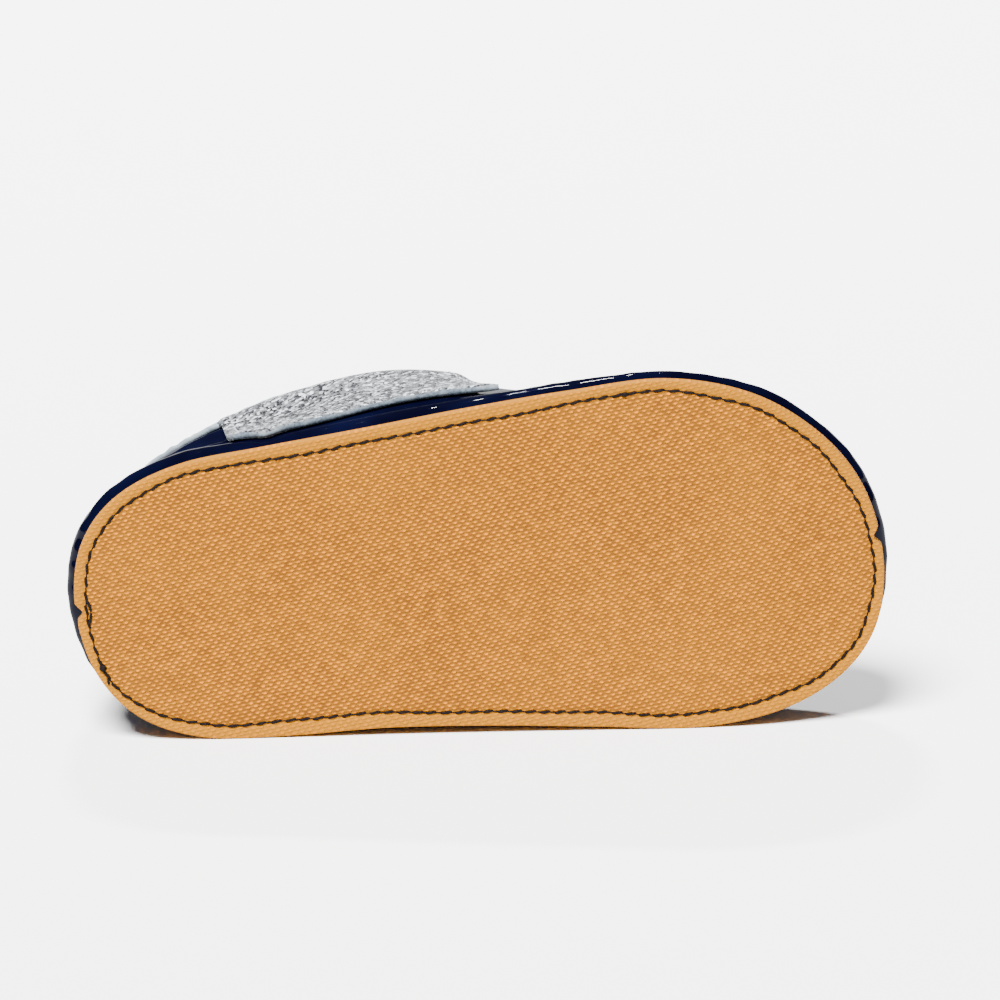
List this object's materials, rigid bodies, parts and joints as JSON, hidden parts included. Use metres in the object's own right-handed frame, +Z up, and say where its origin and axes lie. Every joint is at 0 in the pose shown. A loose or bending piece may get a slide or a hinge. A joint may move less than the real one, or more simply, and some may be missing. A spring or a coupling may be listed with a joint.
{
  "type": "barefoot shoe",
  "caption": "Soft foot-shaped slip-on shoe for a toddler's right foot, with a flat stitched outsole and side panels, lying on its inner side.",
  "frame": {"origin": "middle of the bottom of the bounding box, on the floor under the shoe as it lies on its inner side", "axes": "+X from the heel towards the toe along the floor, +Y from the walked-on face towards the topline, +Z up, towards the shoe's outer side"},
  "size_m": [0.1422, 0.049, 0.0625],
  "materials": {
    "sole_rubber": "embossed with a fine weave, satin",
    "navy_patent": "glossy patent",
    "insole_leather": "matte",
    "silver_leather": "fine glitter",
    "grey_leather": "soft matte"
  },
  "bodies": {
    "root": {"outsole": "sole_rubber", "upper": "navy_patent", "insole": "insole_leather", "panel_outer": "silver_leather", "panel_inner": "silver_leather", "topline_binding": "grey_leather"}
  },
  "joints": []
}
